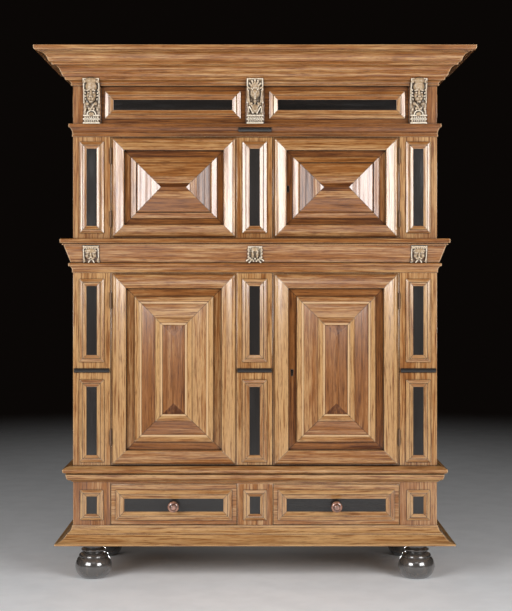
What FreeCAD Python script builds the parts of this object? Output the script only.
import FreeCAD, Part
import os

# Oak cupboard in two stages with ebony strips, cushioned doors, two drawers and bun feet.
# Millimetres, +Z up, front towards -Y, origin on the floor under the middle of the whole box.

# Overall driving sizes
BODY_WIDTH = 1456.0
BODY_DEPTH = 600.0
CORNICE_REACH = 138.0
HALF = BODY_WIDTH / 2
FRONT = CORNICE_REACH - (BODY_DEPTH + CORNICE_REACH) / 2
BACK = FRONT + BODY_DEPTH

# Heights of the stages, from the floor up
PLINTH_FOOT = 150.0
PLINTH_TOP = 222.0
DRAWER_TOP = 388.0
WAIST_FOOT = 396.0
LOWER_FLOOR = 460.0
LINTEL_FOOT = 1233.0
LINTEL_TOP = 1271.0
FRIEZE_TOP = 1343.0
UPPER_FLOOR = 1368.0
LEDGE_FOOT = 1776.0
LEDGE_TOP = 1827.0
CORNICE_FOOT = 1980.0
TOTAL_HEIGHT = 2122.0

# Boards
FACE_THICK = 30.0
SIDE_THICK = 26.0
FLOOR_THICK = 22.0
BACK_THICK = 15.0
BACK_PLANKS = 7
SHELF_THICK = 20.0
SHELF_SETBACK = 70.0
STILE_WIDTH = 110.0
STOP_SIZE = 18.0
PLANK_GAP = 1.0

# Pilasters, panel frames and ebony
PILASTER_WIDTH = 150.0
CENTRE_WIDTH = 142.0
DOOR_GAP = 3.0
SLIM_GAP = 2.5
FRAME_WIDTH = 28.0
WIDE_FRAME = 34.0
TABLET_BORDER = 25.0
UPPER_FRAME = (97.0, 1391.0, 1756.0)
LOWER_FRAMES = ((98.0, 475.0, 804.0), (98.0, 875.0, 1207.0))
TABLET_FRAME = (92.0, 243.0, 363.0)
FRIEZE_FRAME = (1850.0, 1960.0)
FRIEZE_FRAME_X = (57.0, 602.0)
FRIEZE_PANEL_X = (36.0, 617.0)
FRIEZE_RECESS = 18.0
SIDE_FRAME_MARGIN = 45.0
EBONY_PROUD = 3.0
BAR_HEIGHT = 18.0
BAR_PROUD = 9.0
BAR_LEVEL = 841.0
LEDGE_BAR_LEVEL = 1803.0
LEDGE_BAR_BACK = 8.0
LEDGE_BAR_PROUD = 17.0

# Doors
DOOR_THICK = 29.4
UPPER_DOOR_STILE = 52.0
LOWER_DOOR_STILE = 60.0
BEAD_WIDTH = 28.0
BEAD_RISE = 7.0
UPPER_KEYHOLE = (132.0, 1568.0)
LOWER_KEYHOLE = (148.0, 833.0)
PANEL_BACK = -22.0
PANEL_FACE = -4.0
MOULDING_INSET = 6.0
KEYHOLE_RADIUS = 3.5
KEYHOLE_DROP = 13.0

# Drawers
DRAWER_FRONT = 24.0
DRAWER_SIDE = 14.0
DRAWER_LENGTH = 490.0
DRAWER_SIDE_TOP = 372.0
DRAWER_FRAME_INSET = 18.5
RUNNER_WIDTH = 30.0
RUNNER_HEIGHT = 30.0
KNOB_LEVEL = 302.0
KNOB_LENGTH = 60.0

# Carved pieces
BRACKET_WIDTH = 66.0
BRACKET_TOP = 2007.0
MASK_WIDTH = 64.0
CENTRE_MASK_WIDTH = 74.0

# Feet
FOOT_RADIUS = 73.0
FOOT_FLAT = 46.0
FOOT_SHOULDER = 61.0
FOOT_BALL = 82.0
FOOT_SPACING = 654.0
FOOT_SETBACK = 74.0

# Ironwork
PIN_PROUD = 6.0
PIN_RADIUS = 2.0
PIN_CLEARANCE = 0.05
KNUCKLE_RADIUS = 3.6
HINGE_HEIGHT = 60.0
UPPER_HINGE_MARGIN = 45.0
LOWER_HINGE_MARGIN = 80.0
LEAF_THICK = 1.2
LEAF_DEPTH = 25.0
BOLT_WIDTH = 12.0
BOLT_THICK = 10.0
BOLT_LENGTH = 140.0
LOCK_HEIGHT = 90.0
LOCK_DEPTH = 14.0
SLIDE_PLAY = 0.4

# Room beyond a profile's own points for its round stretches
ARC_ALLOWANCE = 5.0

X = FreeCAD.Vector(1, 0, 0)
Y = FreeCAD.Vector(0, 1, 0)
Z = FreeCAD.Vector(0, 0, 1)


def block(x0, x1, y0, y1, z0, z1):
    """Square-edged board between two corners, given in any order."""
    low = FreeCAD.Vector(min(x0, x1), min(y0, y1), min(z0, z1))
    return Part.makeBox(abs(x1 - x0), abs(y1 - y0), abs(z1 - z0), low)


def outline(points):
    """Closed face in the XY plane.

    A point (a, b) ends a straight line. A point (a, b, sag) ends an arc whose middle stands off
    its chord by sag times the chord's length, to the left of the way along it.
    """
    edges = []
    here = FreeCAD.Vector(points[0][0], points[0][1], 0)
    for step in points[1:] + points[:1]:
        there = FreeCAD.Vector(step[0], step[1], 0)
        if len(step) == 3:
            chord = there - here
            middle = (here + there) * 0.5 + FreeCAD.Vector(-chord.y, chord.x, 0) * step[2]
            edges.append(Part.Arc(here, middle, there).toShape())
        else:
            edges.append(Part.makeLine(here, there))
        here = there
    return Part.Face(Part.Wire(edges))


def prism(corners, height):
    """Upright prism over a polygon on the floor."""
    points = [FreeCAD.Vector(a, b, 0) for a, b in corners + corners[:1]]
    return Part.Face(Part.makePolygon(points)).extrude(Z * height)


def place(shape, across, out, origin):
    """Turn a shape so that its X and Y run along across and out, and move it to origin."""
    along = across.cross(out)
    turn = FreeCAD.Matrix(
        across.x, out.x, along.x, origin.x,
        across.y, out.y, along.y, origin.y,
        across.z, out.z, along.z, origin.z,
    )
    placed = shape.copy()
    placed.Placement = FreeCAD.Placement(turn)
    return placed


def front_point(x, z, proud=0.0):
    """Point on the body's front plane, or proud of it."""
    return FreeCAD.Vector(x, FRONT - proud, z)


def mitred_length(profile, width, length):
    """One length of frame moulding, cut to 45 degrees at both ends."""
    bar = outline(profile).extrude(Z * length)
    reach = 100.0
    corners = [(0, 0), (width, width), (width, length - width), (0, length)]
    points = [FreeCAD.Vector(u, -reach / 2, v) for u, v in corners + corners[:1]]
    return bar.common(Part.Face(Part.makePolygon(points)).extrude(Y * reach))


def mitred_frame(corner, right, up, wide, high, profile, width):
    """Four mitred lengths of moulding round a rectangle; the profile runs inwards and outwards."""
    out = right.cross(up)
    level = mitred_length(profile, width, wide)
    upright = mitred_length(profile, width, high)
    return [
        place(level, up, out, corner),
        place(level, -up, out, corner + right * wide + up * high),
        place(upright, right, out, corner + up * high),
        place(upright, -right, out, corner + right * wide),
    ]


def hipped_stack(corner, right, up, wide, high, layers):
    """One solid of hipped layers over a rectangle.

    A layer is (inset at its foot, height of its foot, inset at its top, height of its top).
    """
    out = right.cross(up)

    def ring(inset, height):
        foot = corner + right * inset + up * inset + out * height
        across = right * (wide - 2 * inset)
        rise = up * (high - 2 * inset)
        return Part.makePolygon([foot, foot + across, foot + across + rise, foot + rise, foot])

    solids = []
    for foot_inset, foot, top_inset, top in layers:
        solids.append(Part.makeLoft([ring(foot_inset, foot), ring(top_inset, top)], True, True))
    if len(solids) == 1:
        return solids[0]
    return solids[0].multiFuse(solids[1:]).removeSplitter()


def wrapped_moulding(profile):
    """Front length and two side returns of a moulding round the body, mitred at the corners.

    The profile is in (distance out from the body, height above the floor).
    """
    reach = max(point[0] for point in profile) + ARC_ALLOWANCE
    face = outline(profile)
    front = place(face.extrude(Z * 2 * (HALF + reach)), -Y, Z, front_point(HALF + reach, 0))
    side = face.extrude(Z * (BODY_DEPTH + reach))
    tall = TOTAL_HEIGHT + reach
    lengths = [
        front.common(prism([
            (-HALF, FRONT), (HALF, FRONT),
            (HALF + reach, FRONT - reach), (-HALF - reach, FRONT - reach),
        ], tall)),
    ]
    for hand, start in ((1, BACK), (-1, FRONT - reach)):
        turned = place(side, X * hand, Z, FreeCAD.Vector(hand * HALF, start, 0))
        lengths.append(turned.common(prism([
            (hand * HALF, FRONT), (hand * HALF, BACK),
            (hand * (HALF + reach), BACK), (hand * (HALF + reach), FRONT - reach),
        ], tall)))
    return lengths


def turned(profile, centre):
    """Solid of revolution about the upright through centre; the profile is (radius, height)."""
    face = outline(profile)
    face.rotate(FreeCAD.Vector(), X, 90)
    face.translate(centre)
    return face.revolve(centre, Z, 360)


# Profiles of frame mouldings: (distance inwards, distance out)
def panel_frame_profile(width):
    """Small frame round an ebony strip: a slope up, a groove and a slope down to the strip."""
    return [
        (0, 0), (0, 5), (0.4 * width, 9.5), (0.45 * width, 9.5), (0.46 * width, 7.5), (0.53 * width, 7.5),
        (0.54 * width, 9.5), (0.95 * width, 5), (width, 5), (width, 0),
    ]


def door_moulding_profile(width):
    """Bold moulding round a door: outer bead, slope rising inwards and drop to the recess."""
    return [
        (0, 0), (0, 7), (0.24 * width, 11, 0.16), (0.26 * width, 10), (0.9 * width, 19, 0.02),
        (width, 18, 0.15), (width, 0),
    ]


def bead_frame_profile(width, rise):
    """Narrow raised frame on a lower door."""
    return [
        (0, 0), (0, 0.35 * rise), (0.3 * width, rise, 0.2), (0.62 * width, rise),
        (0.62 * width, 0.75 * rise), (width, 0.3 * rise, -0.12), (width, 0),
    ]


# Base
def bun_feet():
    """Flattened balls with a shoulder ring, a neck and a collar, flat underneath."""
    bulge = (FOOT_RADIUS - (FOOT_FLAT + FOOT_SHOULDER) / 2) / FOOT_BALL
    profile = [
        (0, 0), (FOOT_FLAT, 0), (FOOT_SHOULDER, FOOT_BALL, -bulge), (FOOT_SHOULDER - 3, FOOT_BALL + 2),
        (FOOT_SHOULDER - 1, FOOT_BALL + 4), (46, FOOT_BALL + 18, -0.2), (42, FOOT_BALL + 22),
        (46, FOOT_BALL + 26), (46, FOOT_BALL + 36, -0.4), (42, FOOT_BALL + 40), (50, 140, 0.2),
        (50, PLINTH_FOOT), (0, PLINTH_FOOT),
    ]
    feet = []
    for x in (-FOOT_SPACING, FOOT_SPACING):
        for y in (FRONT + FOOT_SETBACK, BACK - FOOT_SETBACK):
            feet.append(turned(profile, FreeCAD.Vector(x, y, 0)))
    return feet


def plinth_moulding():
    """Flared foot moulding: lip, hollow, fillet and small round up to the body."""
    return wrapped_moulding([
        (0, PLINTH_FOOT), (62, PLINTH_FOOT), (67, 154, -0.2), (66, 158), (24, 189, 0.12),
        (20, 189), (20, 194), (6, 214, 0.14), (4, 214), (4, PLINTH_TOP), (0, PLINTH_TOP),
    ])


def base_front():
    """Three stiles and two rails round the drawer openings."""
    back = FRONT + FACE_THICK
    opening = HALF - PILASTER_WIDTH
    stiles = [
        block(-HALF, -opening, FRONT, back, PLINTH_FOOT, LOWER_FLOOR - FLOOR_THICK),
        block(opening, HALF, FRONT, back, PLINTH_FOOT, LOWER_FLOOR - FLOOR_THICK),
        block(-CENTRE_WIDTH / 2, CENTRE_WIDTH / 2, FRONT, back, PLINTH_TOP, DRAWER_TOP),
    ]
    rails = [
        block(-opening, opening, FRONT, back, PLINTH_FOOT + FLOOR_THICK, PLINTH_TOP),
        block(-opening, opening, FRONT, back, DRAWER_TOP, LOWER_FLOOR - FLOOR_THICK),
    ]
    return stiles + rails


def base_bottom():
    """Bottom board of the base, between the sides."""
    inner = HALF - SIDE_THICK
    opening = HALF - PILASTER_WIDTH
    foot = PLINTH_FOOT
    behind = FRONT + FACE_THICK
    board = block(-inner, inner, behind, BACK - BACK_THICK, foot, foot + FLOOR_THICK)
    tongue = block(-opening, opening, FRONT, behind, foot, foot + FLOOR_THICK)
    return [board.fuse(tongue).removeSplitter()]


def base_sides():
    """Plain side boards of the base."""
    top = LOWER_FLOOR - FLOOR_THICK
    front = FRONT + FACE_THICK
    return [
        block(hand * HALF, hand * (HALF - SIDE_THICK), front, BACK - BACK_THICK, PLINTH_FOOT, top)
        for hand in (-1, 1)
    ]


def drawer_runners():
    """Two runners under each drawer and the partition between them."""
    front = FRONT + FACE_THICK
    back = BACK - BACK_THICK
    opening = HALF - PILASTER_WIDTH
    foot = PLINTH_FOOT + FLOOR_THICK
    strips = []
    for hand in (-1, 1):
        for edge, way in ((opening, -1), (CENTRE_WIDTH / 2, 1)):
            x0 = hand * edge
            x1 = hand * (edge + way * RUNNER_WIDTH)
            strips.append(block(x0, x1, front, back, PLINTH_TOP - RUNNER_HEIGHT, PLINTH_TOP))
    strips.append(block(-FLOOR_THICK / 2, FLOOR_THICK / 2, front, back, foot, LOWER_FLOOR - FLOOR_THICK))
    return strips


def waist_moulding():
    """Ledge above the drawers: sloping top, rounded nose, groove and lower round."""
    return wrapped_moulding([
        (0, WAIST_FOOT), (4, WAIST_FOOT), (8, 402), (26, 420, -0.2), (28, 428), (22, 430),
        (30, 433), (39, 441, -0.15), (39, 449), (24, 457), (14, LOWER_FLOOR), (0, LOWER_FLOOR),
    ])


# Lower and upper stages
def lower_floor():
    """Floor of the lower stage, on the base."""
    return [block(-HALF, HALF, FRONT, BACK - BACK_THICK, LOWER_FLOOR - FLOOR_THICK, LOWER_FLOOR)]


def panelled_sides(foot, top, rail_foot):
    """Stiles, rails and hipped panels of both sides; the top rail shows below rail_foot."""
    front = FRONT + FACE_THICK
    back = BACK - BACK_THICK
    panel_recess = 10.0
    panel_thick = 10.0
    hip = 45.0
    field_foot = foot + STILE_WIDTH
    field_top = rail_foot - STILE_WIDTH
    pieces = []
    for hand in (-1, 1):
        outer = hand * HALF
        inner = hand * (HALF - SIDE_THICK)
        pieces += [
            block(outer, inner, front, front + STILE_WIDTH, foot, top),
            block(outer, inner, back - STILE_WIDTH, back, foot, top),
            block(outer, inner, front + STILE_WIDTH, back - STILE_WIDTH, foot, field_foot),
            block(outer, inner, front + STILE_WIDTH, back - STILE_WIDTH, field_top, top),
        ]
        start = front + STILE_WIDTH if hand > 0 else back - STILE_WIDTH
        corner = FreeCAD.Vector(hand * (HALF - panel_recess - panel_thick), start, field_foot)
        wide = back - front - 2 * STILE_WIDTH
        pieces.append(hipped_stack(corner, Y * hand, Z, wide, field_top - field_foot, [
            (0, 0, 0, panel_thick / 2),
            (0, panel_thick / 2, hip, panel_thick + 4),
        ]))
    return pieces


def pilasters():
    """Flat boards at the front corners of both stages."""
    boards = []
    for foot, top in ((LOWER_FLOOR, LINTEL_FOOT), (UPPER_FLOOR, LEDGE_FOOT)):
        for hand in (-1, 1):
            x0 = hand * HALF
            x1 = hand * (HALF - PILASTER_WIDTH)
            boards.append(block(x0, x1, FRONT, FRONT + FACE_THICK, foot, top))
    return boards


def lower_header():
    """Board behind the lintel moulding and the slanting frieze."""
    top = UPPER_FLOOR - FLOOR_THICK
    return [block(-HALF, HALF, FRONT, FRONT + FACE_THICK, LINTEL_FOOT, top)]


def shelves():
    """One shelf in each stage, clear of the bolts and the lock."""
    inner = HALF - SIDE_THICK
    boards = []
    for foot, top in ((LOWER_FLOOR, LINTEL_FOOT), (UPPER_FLOOR, LEDGE_FOOT)):
        level = (foot + top) / 2 - SHELF_THICK / 2
        front = FRONT + SHELF_SETBACK
        boards.append(block(-inner, inner, front, BACK - BACK_THICK, level, level + SHELF_THICK))
    return boards


def lintel_moulding():
    """Thin moulding above the lower doors: nose over a hollow."""
    return wrapped_moulding([
        (0, LINTEL_FOOT), (4, LINTEL_FOOT), (4, 1237), (12, 1258, 0.14), (15, 1258),
        (17, 1264, -0.2), (14, LINTEL_TOP, -0.2), (0, LINTEL_TOP),
    ])


def slanted_frieze():
    """Plain frieze that leans outwards."""
    return wrapped_moulding([(0, LINTEL_TOP), (8, LINTEL_TOP), (34, FRIEZE_TOP), (0, FRIEZE_TOP)])


def middle_ledge():
    """Ledge between the stages: fillet, groove, square nose."""
    return wrapped_moulding([
        (0, FRIEZE_TOP), (40, FRIEZE_TOP), (40, 1348), (36, 1348), (36, 1351), (47, 1351),
        (48, 1362), (44, UPPER_FLOOR, -0.15), (0, UPPER_FLOOR),
    ])


def upper_floor():
    """Floor of the upper stage."""
    return [block(-HALF, HALF, FRONT, BACK - BACK_THICK, UPPER_FLOOR - FLOOR_THICK, UPPER_FLOOR)]


def frieze_boards():
    """Rail behind the upper ledge, stiles behind the brackets, recessed front panels and side boards."""
    behind = FRONT + FACE_THICK
    near, far = FRIEZE_PANEL_X
    boards = [
        block(-HALF, HALF, FRONT, behind, LEDGE_FOOT, LEDGE_TOP),
        block(-near, near, FRONT, behind, LEDGE_TOP, CORNICE_FOOT),
    ]
    for hand in (-1, 1):
        inner = hand * (HALF - SIDE_THICK)
        boards.append(block(hand * far, hand * HALF, FRONT, behind, LEDGE_TOP, CORNICE_FOOT))
        boards.append(block(hand * near, hand * far, FRONT + FRIEZE_RECESS, behind, LEDGE_TOP, CORNICE_FOOT))
        boards.append(block(hand * HALF, inner, behind, BACK - BACK_THICK, LEDGE_TOP, CORNICE_FOOT))
    return boards


def ledge_bar_seat():
    """Space that the ebony bar takes in the upper ledge."""
    half_length = CENTRE_WIDTH / 2 - 5
    half_height = BAR_HEIGHT / 2
    return block(
        -half_length, half_length, FRONT - LEDGE_BAR_BACK - 2 * LEDGE_BAR_PROUD, FRONT - LEDGE_BAR_BACK,
        LEDGE_BAR_LEVEL - half_height, LEDGE_BAR_LEVEL + half_height,
    )


def upper_ledge():
    """Thin shelf over a hollow, with a seat for the ebony bar in the middle."""
    lengths = wrapped_moulding([
        (0, LEDGE_FOOT), (4, LEDGE_FOOT), (4, 1780), (12, 1812, 0.12), (16, 1813),
        (17, 1820), (16, LEDGE_TOP), (0, LEDGE_TOP),
    ])
    lengths[0] = lengths[0].cut(ledge_bar_seat())
    return lengths


def half_round_bar(x0, x1, level, back, proud):
    """Half-round bar lying across the front."""
    half_height = BAR_HEIGHT / 2
    sag = (proud - back) / BAR_HEIGHT
    face = outline([(back, level - half_height), (back, level + half_height, -sag)])
    return place(face.extrude(Z * (x1 - x0)), -Y, Z, front_point(x1, 0))


def cornice():
    """Stepped cornice that flares out in four tiers: fillets, hollows and rounds under a round nose."""
    return wrapped_moulding([
        (0, CORNICE_FOOT), (8, CORNICE_FOOT), (8, 1986), (6, 1987), (20, 1999, 0.12), (27, 2000),
        (29, 2003), (30, 2010), (33, 2011), (42, 2029, -0.12), (46, 2030), (46, 2034),
        (66, 2053, 0.15), (75, 2054), (76, 2061), (79, 2063), (89, 2074, -0.15), (91, 2079),
        (121, 2100, 0.14), (124, 2101), (124, 2104), (CORNICE_REACH, 2114, -0.3),
        (CORNICE_REACH, TOTAL_HEIGHT), (0, TOTAL_HEIGHT),
    ])


def cornice_frame():
    """Four boards behind the cornice that make a shallow tray on top."""
    foot = CORNICE_FOOT + FLOOR_THICK
    top = TOTAL_HEIGHT - FLOOR_THICK
    inner = HALF - FLOOR_THICK
    boards = [
        block(-HALF, HALF, FRONT, FRONT + FLOOR_THICK, foot, top),
        block(-inner, inner, BACK - FLOOR_THICK, BACK, foot, top),
    ]
    for hand in (-1, 1):
        boards.append(block(hand * HALF, hand * inner, FRONT + FLOOR_THICK, BACK, foot, top))
    return boards


def top_boards():
    """Planks that close the top, running across."""
    count = 4
    step = BODY_DEPTH / count
    return [
        block(-HALF, HALF, FRONT + i * step, FRONT + (i + 1) * step - PLANK_GAP,
              CORNICE_FOOT, CORNICE_FOOT + FLOOR_THICK)
        for i in range(count)
    ]


def back_boards():
    """One board behind the base and upright planks behind the two stages."""
    front = BACK - BACK_THICK
    boards = [block(-HALF, HALF, front, BACK, PLINTH_FOOT, LOWER_FLOOR)]
    step = BODY_WIDTH / BACK_PLANKS
    for foot, top in ((LOWER_FLOOR, UPPER_FLOOR), (UPPER_FLOOR, CORNICE_FOOT)):
        for i in range(BACK_PLANKS):
            left = -HALF + i * step
            boards.append(block(left, left + step - PLANK_GAP, front, BACK, foot, top))
    return boards


def door_stops():
    """Strips behind the doors on the floors and on the headers."""
    inner = CENTRE_WIDTH / 2 + STOP_SIZE
    outer = HALF - PILASTER_WIDTH - STOP_SIZE
    front = FRONT + FACE_THICK
    strips = []
    for foot, top in ((LOWER_FLOOR, LINTEL_FOOT), (UPPER_FLOOR, LEDGE_FOOT)):
        for hand in (-1, 1):
            x0 = hand * inner
            x1 = hand * outer
            strips.append(block(x0, x1, front, front + STOP_SIZE, foot, foot + STOP_SIZE))
            strips.append(block(x0, x1, front, front + STOP_SIZE, top - STOP_SIZE, top + STOP_SIZE))
    return strips


# Ebony strips in moulded frames
def framed_strip(x0, x1, foot, top, width=FRAME_WIDTH, recess=0.0):
    """Mitred frame on the front, or on a panel recessed in it, and the ebony strip that it holds."""
    corner = front_point(x0, foot, -recess)
    frame = mitred_frame(corner, X, Z, x1 - x0, top - foot, panel_frame_profile(width), width)
    seat = FRONT + recess
    strip = block(x0 + width, x1 - width, seat - EBONY_PROUD, seat, foot + width, top - width)
    return frame, strip


def centred_strip(centre, size, border=FRAME_WIDTH):
    """Framed strip about an upright centre line; size is (width, foot, top)."""
    wide, foot, top = size
    return framed_strip(centre - wide / 2, centre + wide / 2, foot, top, border)


def fixed_strips():
    """All framed strips that stay with the body: pilasters, base tablets and top frieze."""
    side_centre = HALF - PILASTER_WIDTH / 2
    pairs = [centred_strip(x, TABLET_FRAME, TABLET_BORDER) for x in (-side_centre, 0, side_centre)]
    for hand in (-1, 1):
        for size in (UPPER_FRAME,) + LOWER_FRAMES:
            pairs.append(centred_strip(hand * side_centre, size))
        near, far = sorted(hand * edge for edge in FRIEZE_FRAME_X)
        pairs.append(framed_strip(near, far, *FRIEZE_FRAME, WIDE_FRAME, FRIEZE_RECESS))
        pairs.append(side_frieze_strip(hand))
    frames = [length for frame, strip in pairs for length in frame]
    strips = [strip for frame, strip in pairs]
    return frames, strips


def side_frieze_strip(hand):
    """Framed strip of the top frieze on one side of the body."""
    foot, top = FRIEZE_FRAME
    wide = BODY_DEPTH - 2 * SIDE_FRAME_MARGIN
    front = FRONT + SIDE_FRAME_MARGIN
    back = BACK - SIDE_FRAME_MARGIN
    corner = FreeCAD.Vector(hand * HALF, front if hand > 0 else back, foot)
    border = WIDE_FRAME
    frame = mitred_frame(corner, Y * hand, Z, wide, top - foot, panel_frame_profile(border), border)
    strip = block(
        hand * HALF, hand * (HALF + EBONY_PROUD), front + border, back - border, foot + border, top - border)
    return frame, strip


def fixed_bars():
    """Ebony half-round bars on the side pilasters and on the upper ledge."""
    half_length = CENTRE_WIDTH / 2 - 5
    bars = [half_round_bar(-half_length, half_length, LEDGE_BAR_LEVEL, LEDGE_BAR_BACK, LEDGE_BAR_PROUD)]
    inner = HALF - PILASTER_WIDTH + 5
    outer = HALF - 5
    for x0, x1 in ((-outer, -inner), (inner, outer)):
        bars.append(half_round_bar(x0, x1, BAR_LEVEL, 0, BAR_PROUD))
    return bars


# Carved pieces, with their main masses only
def carved_brackets(cornice_front):
    """Consoles with a bust on a stepped foot, under a scroll that reaches the cornice."""
    face = outline([
        (0, LEDGE_TOP), (22, LEDGE_TOP), (22, 1850), (16, 1856), (26, 1884, -0.2), (16, 1906, 0.1),
        (32, 1926, -0.2), (28, 1954, -0.25), (22, 1962), (44, 1994, 0.15), (44, BRACKET_TOP),
        (0, BRACKET_TOP),
    ])
    brackets = []
    for centre in (-(HALF - PILASTER_WIDTH / 2), 0, HALF - PILASTER_WIDTH / 2):
        bar = place(face.extrude(Z * BRACKET_WIDTH), -Y, Z, front_point(centre + BRACKET_WIDTH / 2, 0))
        brackets.append(bar.cut(cornice_front))
    return brackets


def lion_masks(frieze_front):
    """Masks on the slanting frieze: chin, muzzle, brow and mane."""
    face = outline([
        (4, 1274), (22, 1274), (38, 1292, -0.2), (36, 1300), (44, 1318, -0.15), (46, 1334, -0.1),
        (42, 1342), (4, 1342),
    ])
    masks = []
    spacing = HALF - PILASTER_WIDTH / 2
    for centre, wide in ((-spacing, MASK_WIDTH), (0, CENTRE_MASK_WIDTH), (spacing, MASK_WIDTH)):
        bar = place(face.extrude(Z * wide), -Y, Z, front_point(centre + wide / 2, 0))
        masks.append(bar.cut(frieze_front))
    return masks


# Hinges, bolts and locks
def hinge(hand, foot):
    """Fixed leaf with its pin, and the door's leaf with its bored knuckle; hand is the body's side."""
    axis = hand * (HALF - PILASTER_WIDTH - DOOR_GAP / 2)
    play = 0.3
    half = HINGE_HEIGHT / 2
    near = DOOR_GAP / 2 - LEAF_THICK
    far = DOOR_GAP / 2
    root = FRONT - 0.5
    tip = FRONT + LEAF_DEPTH
    pin_line = FRONT - PIN_PROUD

    def leaf(side, z0, z1):
        x0 = axis + side * near
        x1 = axis + side * far
        plate = block(x0, x1, root, tip, foot, foot + HINGE_HEIGHT)
        neck = block(x0, x1, pin_line, root, z0, z1)
        knuckle = Part.makeCylinder(KNUCKLE_RADIUS, z1 - z0, FreeCAD.Vector(axis, pin_line, z0))
        return plate.multiFuse([neck, knuckle])

    pin = Part.makeCylinder(PIN_RADIUS, HINGE_HEIGHT + play, FreeCAD.Vector(axis, pin_line, foot))
    crown = FreeCAD.Vector(axis, pin_line, foot + HINGE_HEIGHT + play)
    dome = Part.makeSphere(KNUCKLE_RADIUS, crown, Z, 0, 90)
    fixed = leaf(hand, foot, foot + half - play).multiFuse([pin, dome]).removeSplitter()
    bore = Part.makeCylinder(
        PIN_RADIUS + PIN_CLEARANCE, HINGE_HEIGHT, FreeCAD.Vector(axis, pin_line, foot + half / 2))
    moving = leaf(-hand, foot + half, foot + HINGE_HEIGHT).cut(bore).removeSplitter()
    return fixed, moving


def door_hinges(hand, foot, top, margin):
    """Upper and lower hinge of one door: fixed halves and moving halves."""
    pairs = [hinge(hand, foot + margin), hinge(hand, top - margin - HINGE_HEIGHT)]
    return [pair[0] for pair in pairs], [pair[1] for pair in pairs]


def slide_bolt(top):
    """Upright bolt behind a centre pilaster, with its knob, and the two staples that hold it."""
    centre = -DOOR_GAP / 2
    back = FRONT + DOOR_THICK
    front = back + 2
    head = top - 4
    bar = block(
        centre - BOLT_WIDTH / 2, centre + BOLT_WIDTH / 2, front, front + BOLT_THICK, head - BOLT_LENGTH, head)
    stem = FreeCAD.Vector(centre, front + BOLT_THICK, head - BOLT_LENGTH / 2)
    bolt = bar.fuse(Part.makeCylinder(BOLT_WIDTH / 2, BOLT_WIDTH, stem, Y))
    half = BOLT_WIDTH / 2 + SLIDE_PLAY
    channel = block(
        centre - half, centre + half, front - SLIDE_PLAY, front + BOLT_THICK + SLIDE_PLAY, 0, TOTAL_HEIGHT)
    staples = []
    for level in (head - 0.2 * BOLT_LENGTH, head - 0.8 * BOLT_LENGTH):
        loop = block(
            centre - half - 6, centre + half + 6, back, front + BOLT_THICK + 5, level - 7, level + 7)
        staples.append(loop.cut(channel))
    return bolt, staples


def keyhole(x, z):
    """Round hole with a slot below it, right through a door."""
    back = 3 * FACE_THICK
    hole = Part.makeCylinder(KEYHOLE_RADIUS, back, FreeCAD.Vector(x, FRONT - FACE_THICK, z), Y)
    half = KEYHOLE_RADIUS / 2
    slot = block(x - half, x + half, FRONT - FACE_THICK, FRONT + 2 * FACE_THICK, z - KEYHOLE_DROP, z)
    return hole.fuse(slot)


def door_lock(x, z):
    """Lock case behind a right-hand door and the bolt that slides out of it."""
    edge = CENTRE_WIDTH / 2 + DOOR_GAP
    front = FRONT + DOOR_THICK
    middle = front + LOCK_DEPTH / 2
    tail = x - 2 * BOLT_WIDTH
    half_thick = BOLT_THICK / 2 - 1
    half_height = BOLT_WIDTH / 2 + 3
    case = block(edge + 2, x + 25, front, front + LOCK_DEPTH, z - LOCK_HEIGHT / 2, z + LOCK_HEIGHT / 2)
    channel = block(
        edge, tail + 2, middle - half_thick - SLIDE_PLAY, middle + half_thick + SLIDE_PLAY,
        z - half_height - SLIDE_PLAY, z + half_height + SLIDE_PLAY)
    bolt = block(edge + 1, tail, middle - half_thick, middle + half_thick, z - half_height, z + half_height)
    return case.cut(channel).cut(keyhole(x, z)), bolt


# Doors
def door_members(x0, x1, foot, top, stile):
    """Two stiles, two rails and the sunk panel of one door."""
    back = FRONT + DOOR_THICK
    return [
        block(x0, x0 + stile, FRONT, back, foot, top),
        block(x1 - stile, x1, FRONT, back, foot, top),
        block(x0 + stile, x1 - stile, FRONT, back, foot, foot + stile),
        block(x0 + stile, x1 - stile, FRONT, back, top - stile, top),
        block(x0 + stile, x1 - stile, FRONT - PANEL_FACE, FRONT - PANEL_BACK, foot + stile, top - stile),
    ]


def door_frame_at(x0, x1, foot, top, inset, height, profile, width):
    """Mitred frame on a door, at an inset from its edges and a height above its face."""
    return mitred_frame(
        front_point(x0 + inset, foot + inset, height), X, Z,
        x1 - x0 - 2 * inset, top - foot - 2 * inset, profile, width)


def upper_door(x0, x1, foot, top):
    """Members, mouldings and landscape cushion of an upper door."""
    stile = UPPER_DOOR_STILE
    width = stile - MOULDING_INSET
    members = door_members(x0, x1, foot, top, stile)
    mouldings = door_frame_at(x0, x1, foot, top, MOULDING_INSET, 0, door_moulding_profile(width), width)
    ridge = (top - foot) / 2 - 0.5
    cushion = hipped_stack(front_point(x0, foot), X, Z, x1 - x0, top - foot, [
        (stile + 26, PANEL_FACE, stile + 28, 4),
        (stile + 28, 4, stile + 48, 12),
        (stile + 52, 12, stile + 54, 16),
        (stile + 54, 16, stile + 106, 32),
        (stile + 107, 32, stile + 133, 38.5),
        (stile + 135, 38.5, ridge, 43),
    ])
    return members, mouldings, cushion


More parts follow.
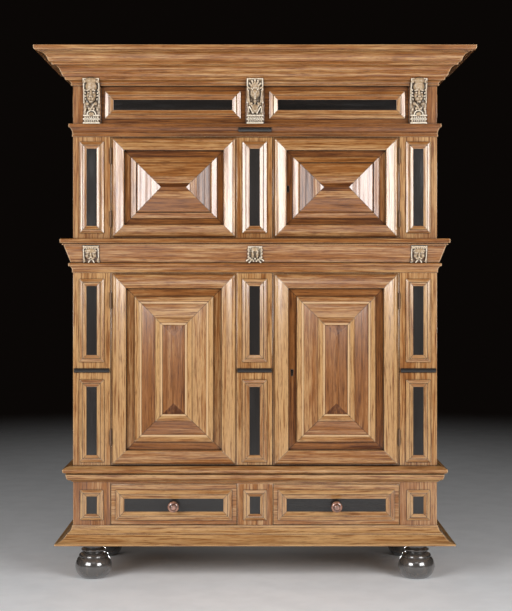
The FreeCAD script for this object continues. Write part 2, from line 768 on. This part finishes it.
def lower_door(x0, x1, foot, top):
    """Members, mouldings and tall stepped panel of a lower door."""
    stile = LOWER_DOOR_STILE
    width = stile - MOULDING_INSET
    members = door_members(x0, x1, foot, top, stile)
    mouldings = door_frame_at(x0, x1, foot, top, MOULDING_INSET, 0, door_moulding_profile(width), width)
    outer = stile + 34
    middle = outer + BEAD_WIDTH
    inner = middle + 56
    centre = inner + BEAD_WIDTH + 2
    ridge = (x1 - x0) / 2 - 1
    bead = bead_frame_profile(BEAD_WIDTH, BEAD_RISE)
    for inset, height in ((outer, 7), (inner, 24)):
        mouldings += door_frame_at(x0, x1, foot, top, inset, height, bead, BEAD_WIDTH)
    panel = hipped_stack(front_point(x0, foot), X, Z, x1 - x0, top - foot, [
        (outer, PANEL_FACE, outer, 7),
        (middle, 7, middle + 1, 9),
        (middle + 1, 9, inner, 24),
        (centre, 24, ridge, 38),
    ])
    return members, mouldings, panel


def centre_pilaster(foot, top, sizes):
    """Board and frames of the pilaster that a left-hand door carries, and its ebony strips."""
    x0 = -CENTRE_WIDTH / 2 - DOOR_GAP / 2
    x1 = CENTRE_WIDTH / 2 - DOOR_GAP / 2
    oak = [block(x0, x1, FRONT, FRONT + DOOR_THICK, foot, top)]
    ebony = []
    for size in sizes:
        frame, strip = centred_strip((x0 + x1) / 2, size)
        oak += frame
        ebony.append(strip)
    return oak, ebony


# Drawers
def knob(x):
    """Turned mushroom knob with a small boss, standing out of the ebony strip."""
    profile = [
        (0, 0), (13, 0), (13, 3), (8, 7, 0.2), (7, 22), (17, 32, 0.15), (22, 41, -0.15),
        (14, 51, -0.2), (12, 49), (11, 50), (11, 55), (7, KNOB_LENGTH, -0.25), (0, KNOB_LENGTH),
    ]
    shape = turned(profile, FreeCAD.Vector())
    shape.rotate(FreeCAD.Vector(), X, 90)
    shape.translate(front_point(x, KNOB_LEVEL, EBONY_PROUD))
    return shape


def drawer(hand):
    """Box with its moulded front, ebony strip and knob."""
    edges = sorted((hand * (CENTRE_WIDTH / 2 + SLIM_GAP), hand * (HALF - PILASTER_WIDTH - SLIM_GAP)))
    x0, x1 = edges
    foot = PLINTH_TOP + SLIM_GAP
    top = DRAWER_TOP - SLIM_GAP
    inside = FRONT + DRAWER_FRONT
    back = inside + DRAWER_LENGTH
    left = x0 + SLIM_GAP
    right = x1 - SLIM_GAP
    rest = PLINTH_TOP + SLIDE_PLAY
    box = [
        block(x0, x1, FRONT, inside, foot, top),
        block(left, left + DRAWER_SIDE, inside, back, rest, DRAWER_SIDE_TOP),
        block(right - DRAWER_SIDE, right, inside, back, rest, DRAWER_SIDE_TOP),
        block(left + DRAWER_SIDE, right - DRAWER_SIDE, back - DRAWER_SIDE, back, foot, DRAWER_SIDE_TOP),
        block(left + DRAWER_SIDE, right - DRAWER_SIDE, inside, back - DRAWER_SIDE, foot, foot + DRAWER_SIDE),
    ]
    frame, strip = framed_strip(
        x0 + DRAWER_FRAME_INSET, x1 - DRAWER_FRAME_INSET, TABLET_FRAME[1], TABLET_FRAME[2], WIDE_FRAME)
    return box + frame, strip, knob((x0 + x1) / 2)


def save(name, pieces):
    """Write one node from its separate solids."""
    solids = [solid for piece in pieces for solid in piece.Solids]
    Part.makeCompound(solids).exportStep(os.path.join("parts", name + ".step"))


def save_body():
    """Write the nodes of the standing body, apart from its hinges."""
    cornice_lengths = cornice()
    frieze_lengths = slanted_frieze()
    frames, strips = fixed_strips()
    nodes = {
        "bun_feet": bun_feet(),
        "plinth_moulding": plinth_moulding(),
        "base_bottom": base_bottom(),
        "base_sides": base_sides(),
        "base_front": base_front(),
        "drawer_runners": drawer_runners(),
        "waist_moulding": waist_moulding(),
        "lower_floor": lower_floor(),
        "lower_sides": panelled_sides(LOWER_FLOOR, UPPER_FLOOR - FLOOR_THICK, LINTEL_FOOT),
        "pilasters": pilasters(),
        "lower_header": lower_header(),
        "shelves": shelves(),
        "lintel_moulding": lintel_moulding(),
        "slanted_frieze": frieze_lengths,
        "lion_masks": lion_masks(frieze_lengths[0]),
        "middle_ledge": middle_ledge(),
        "upper_floor": upper_floor(),
        "upper_sides": panelled_sides(UPPER_FLOOR, LEDGE_TOP, LEDGE_FOOT),
        "upper_ledge": upper_ledge(),
        "frieze_boards": frieze_boards(),
        "carved_brackets": carved_brackets(cornice_lengths[0]),
        "cornice": cornice_lengths,
        "cornice_frame": cornice_frame(),
        "top_boards": top_boards(),
        "back_boards": back_boards(),
        "door_stops": door_stops(),
        "panel_frames": frames,
        "ebony_strips": strips,
        "ebony_bars": fixed_bars(),
    }
    for name, pieces in nodes.items():
        save(name, pieces)


def save_doors():
    """Write the nodes of the four doors and the fixed halves of their hinges."""
    outer = HALF - PILASTER_WIDTH - DOOR_GAP
    inner = CENTRE_WIDTH / 2 + DOOR_GAP / 2
    stages = (
        ("lower", LOWER_FLOOR, LINTEL_FOOT, lower_door, LOWER_FRAMES, LOWER_KEYHOLE, LOWER_HINGE_MARGIN),
        ("upper", UPPER_FLOOR, LEDGE_FOOT, upper_door, (UPPER_FRAME,), UPPER_KEYHOLE, UPPER_HINGE_MARGIN),
    )
    fixed_hinges = []
    for stage, floor, head, make_door, strip_sizes, key_place, margin in stages:
        foot = floor + SLIM_GAP
        top = head - SLIM_GAP
        bolt, staples = slide_bolt(top)
        case, lock_bolt = door_lock(*key_place)
        for side, hand in (("left", -1), ("right", 1)):
            name = stage + "_" + side + "_door_"
            x0, x1 = sorted((hand * inner, hand * outer))
            members, mouldings, cushion = make_door(x0, x1, foot, top)
            fixed, moving = door_hinges(hand, foot, top, margin)
            fixed_hinges += fixed
            if side == "left":
                iron = moving + staples
            else:
                iron = moving + [case]
                members = [member.cut(keyhole(*key_place)) for member in members]
            save(name + "frame", members)
            save(name + "mouldings", mouldings)
            save(name + "cushion", [cushion])
            save(name + "ironwork", iron)
        oak, ebony = centre_pilaster(foot, top, strip_sizes)
        if stage == "lower":
            ebony.append(half_round_bar(
                -inner + DOOR_GAP, inner - DOOR_GAP - DOOR_GAP, BAR_LEVEL, 0, BAR_PROUD))
        save(stage + "_centre_pilaster", oak)
        save(stage + "_centre_ebony", ebony)
        save(stage + "_slide_bolt", [bolt])
        save(stage + "_lock_bolt", [lock_bolt])
    save("hinge_pins", fixed_hinges)


def save_drawers():
    """Write the nodes of both drawers."""
    for side, hand in (("left", -1), ("right", 1)):
        box, strip, turned_knob = drawer(hand)
        save(side + "_drawer", box)
        save(side + "_drawer_ebony", [strip])
        save(side + "_drawer_knob", [turned_knob])


os.makedirs("parts", exist_ok=True)
save_body()
save_doors()
save_drawers()
